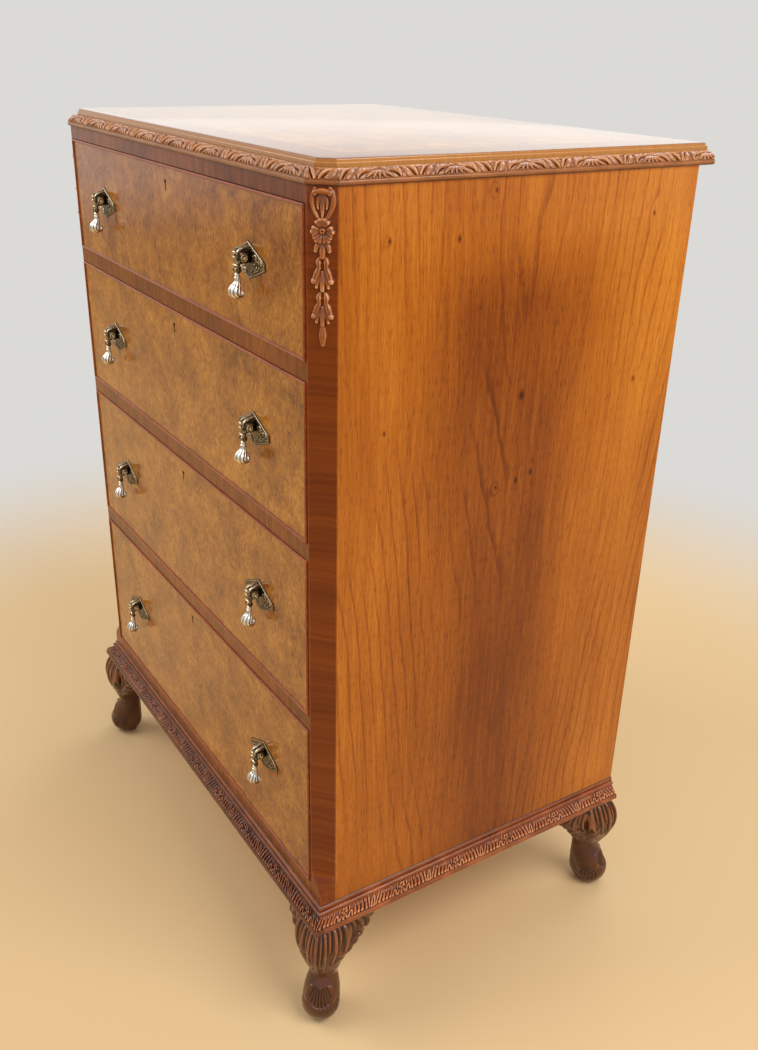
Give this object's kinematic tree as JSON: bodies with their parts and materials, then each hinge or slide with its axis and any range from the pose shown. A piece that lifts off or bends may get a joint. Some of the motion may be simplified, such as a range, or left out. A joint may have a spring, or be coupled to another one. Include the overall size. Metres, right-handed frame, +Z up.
{
  "type": "bachelors chest of drawers",
  "caption": "Tall canted chest of graduated drawers with a carved top moulding, a carved base moulding, cabriole legs with scroll feet, and swinging drop handles.",
  "frame": {"origin": "on the floor, below the middle of the bounding box", "axes": "+Z up; the front faces -Y; +X is to the right when facing the front"},
  "size_m": [0.8098, 0.5616, 1.1085],
  "materials": {
    "figured_walnut": "polished figured walnut veneer, vertical grain",
    "post_walnut": "polished dark walnut",
    "crossgrain_walnut": "polished cross-grained walnut veneer",
    "burr_walnut": "polished burr walnut veneer",
    "top_burr_walnut": "polished burr walnut veneer with a crossbanded border",
    "bead_walnut": "polished red-brown walnut",
    "carved_top_walnut": "carved and polished walnut",
    "carved_base_walnut": "carved and polished walnut",
    "carved_walnut": "carved and polished walnut",
    "leg_walnut": "carved and polished dark walnut",
    "drawer_oak": "planed oak, oiled",
    "drawer_plywood": "smooth plywood",
    "carcass_pine": "planed pine",
    "back_plywood": "stained plywood",
    "antique_brass": "cast and darkened, rubbed bright on its edges",
    "bright_drop": "cast and nickelled, dark in its hollows",
    "lock_brass": "brushed brass",
    "bolt_steel": "bright steel",
    "screw_steel": "dull steel"
  },
  "bodies": {
    "carcass": {"side_panel_left": "figured_walnut", "side_panel_right": "figured_walnut", "corner_post_left": "post_walnut", "corner_post_right": "post_walnut", "back_panel": "back_plywood", "front_rails": "crossgrain_walnut", "back_rail": "carcass_pine", "bottom_board": "carcass_pine", "drawer_runners": "carcass_pine", "drawer_stops": "carcass_pine", "fixing_screws": "screw_steel", "top_board": "top_burr_walnut", "top_moulding": "carved_top_walnut", "corner_carvings": "carved_walnut", "base_frame": "carcass_pine", "base_moulding": "carved_base_walnut", "leg_front_left": "leg_walnut", "leg_front_right": "leg_walnut", "leg_back_left": "leg_walnut", "leg_back_right": "leg_walnut"},
    "drawer_1": {"drawer_1_front": "burr_walnut", "drawer_1_cockbead": "bead_walnut", "drawer_1_sides": "drawer_oak", "drawer_1_back": "drawer_oak", "drawer_1_bottom": "drawer_plywood", "drawer_1_lock": "lock_brass", "drawer_1_plates": "antique_brass"},
    "drop_1_left": {"drawer_1_drop_left": "bright_drop"},
    "drop_1_right": {"drawer_1_drop_right": "bright_drop"},
    "lock_bolt_1": {"drawer_1_bolt": "bolt_steel"},
    "drawer_2": {"drawer_2_front": "burr_walnut", "drawer_2_cockbead": "bead_walnut", "drawer_2_sides": "drawer_oak", "drawer_2_back": "drawer_oak", "drawer_2_bottom": "drawer_plywood", "drawer_2_lock": "lock_brass", "drawer_2_plates": "antique_brass"},
    "drop_2_left": {"drawer_2_drop_left": "bright_drop"},
    "drop_2_right": {"drawer_2_drop_right": "bright_drop"},
    "lock_bolt_2": {"drawer_2_bolt": "bolt_steel"},
    "drawer_3": {"drawer_3_front": "burr_walnut", "drawer_3_cockbead": "bead_walnut", "drawer_3_sides": "drawer_oak", "drawer_3_back": "drawer_oak", "drawer_3_bottom": "drawer_plywood", "drawer_3_lock": "lock_brass", "drawer_3_plates": "antique_brass"},
    "drop_3_left": {"drawer_3_drop_left": "bright_drop"},
    "drop_3_right": {"drawer_3_drop_right": "bright_drop"},
    "lock_bolt_3": {"drawer_3_bolt": "bolt_steel"},
    "drawer_4": {"drawer_4_front": "burr_walnut", "drawer_4_cockbead": "bead_walnut", "drawer_4_sides": "drawer_oak", "drawer_4_back": "drawer_oak", "drawer_4_bottom": "drawer_plywood", "drawer_4_lock": "lock_brass", "drawer_4_plates": "antique_brass"},
    "drop_4_left": {"drawer_4_drop_left": "bright_drop"},
    "drop_4_right": {"drawer_4_drop_right": "bright_drop"},
    "lock_bolt_4": {"drawer_4_bolt": "bolt_steel"}
  },
  "joints": [
    {"name": "drawer_1_slide", "type": "slide", "parent": "carcass", "child": "drawer_1", "axis": [0, -1, 0], "range_m": [0, 0.34]},
    {"name": "drop_1_left_swing", "type": "hinge", "parent": "drawer_1", "child": "drop_1_left", "pos_m": [-0.229, -0.26775, 0.9837], "axis": [-1, 0, 0], "range_deg": [-14, 78]},
    {"name": "drop_1_right_swing", "type": "hinge", "parent": "drawer_1", "child": "drop_1_right", "pos_m": [0.229, -0.26775, 0.9837], "axis": [-1, 0, 0], "range_deg": [-14, 78]},
    {"name": "lock_bolt_1_slide", "type": "slide", "parent": "drawer_1", "child": "lock_bolt_1", "axis": [0, 0, 1], "range_m": [0, 0.006]},
    {"name": "drawer_2_slide", "type": "slide", "parent": "carcass", "child": "drawer_2", "axis": [0, -1, 0], "range_m": [0, 0.34]},
    {"name": "drop_2_left_swing", "type": "hinge", "parent": "drawer_2", "child": "drop_2_left", "pos_m": [-0.229, -0.26775, 0.7917], "axis": [-1, 0, 0], "range_deg": [-14, 78]},
    {"name": "drop_2_right_swing", "type": "hinge", "parent": "drawer_2", "child": "drop_2_right", "pos_m": [0.229, -0.26775, 0.7917], "axis": [-1, 0, 0], "range_deg": [-14, 78]},
    {"name": "lock_bolt_2_slide", "type": "slide", "parent": "drawer_2", "child": "lock_bolt_2", "axis": [0, 0, 1], "range_m": [0, 0.006]},
    {"name": "drawer_3_slide", "type": "slide", "parent": "carcass", "child": "drawer_3", "axis": [0, -1, 0], "range_m": [0, 0.34]},
    {"name": "drop_3_left_swing", "type": "hinge", "parent": "drawer_3", "child": "drop_3_left", "pos_m": [-0.229, -0.26775, 0.5737], "axis": [-1, 0, 0], "range_deg": [-14, 78]},
    {"name": "drop_3_right_swing", "type": "hinge", "parent": "drawer_3", "child": "drop_3_right", "pos_m": [0.229, -0.26775, 0.5737], "axis": [-1, 0, 0], "range_deg": [-14, 78]},
    {"name": "lock_bolt_3_slide", "type": "slide", "parent": "drawer_3", "child": "lock_bolt_3", "axis": [0, 0, 1], "range_m": [0, 0.006]},
    {"name": "drawer_4_slide", "type": "slide", "parent": "carcass", "child": "drawer_4", "axis": [0, -1, 0], "range_m": [0, 0.34]},
    {"name": "drop_4_left_swing", "type": "hinge", "parent": "drawer_4", "child": "drop_4_left", "pos_m": [-0.229, -0.26775, 0.3287], "axis": [-1, 0, 0], "range_deg": [-14, 78]},
    {"name": "drop_4_right_swing", "type": "hinge", "parent": "drawer_4", "child": "drop_4_right", "pos_m": [0.229, -0.26775, 0.3287], "axis": [-1, 0, 0], "range_deg": [-14, 78]},
    {"name": "lock_bolt_4_slide", "type": "slide", "parent": "drawer_4", "child": "lock_bolt_4", "axis": [0, 0, 1], "range_m": [0, 0.006]}
  ]
}
